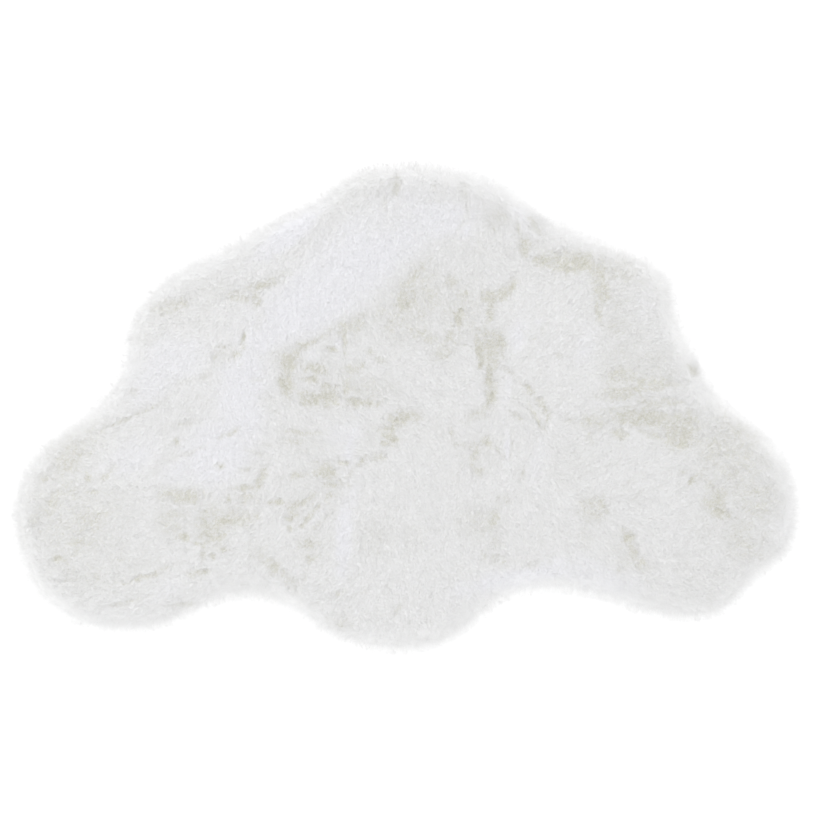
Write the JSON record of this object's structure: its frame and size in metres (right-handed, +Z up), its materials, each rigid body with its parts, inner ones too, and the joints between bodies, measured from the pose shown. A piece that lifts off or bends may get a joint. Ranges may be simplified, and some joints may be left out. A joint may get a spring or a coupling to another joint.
{
  "type": "cloud shaped faux fur rug",
  "caption": "Small white faux fur rug in the outline of a cloud, with deep brushed pile, lying flat on the floor.",
  "frame": {"origin": "middle of the rug's footprint, on the floor", "axes": "+X along the rug's length, to the right in the picture; +Y across it, towards the cloud's crown, up in the picture; +Z up from the floor"},
  "size_m": [1, 0.6222, 0.0243],
  "materials": {
    "fur": "matt white polyester fur, brushed",
    "cloth": "plain off-white knitted ground cloth"
  },
  "bodies": {
    "root": {"fur_rug": "fur"}
  },
  "joints": []
}
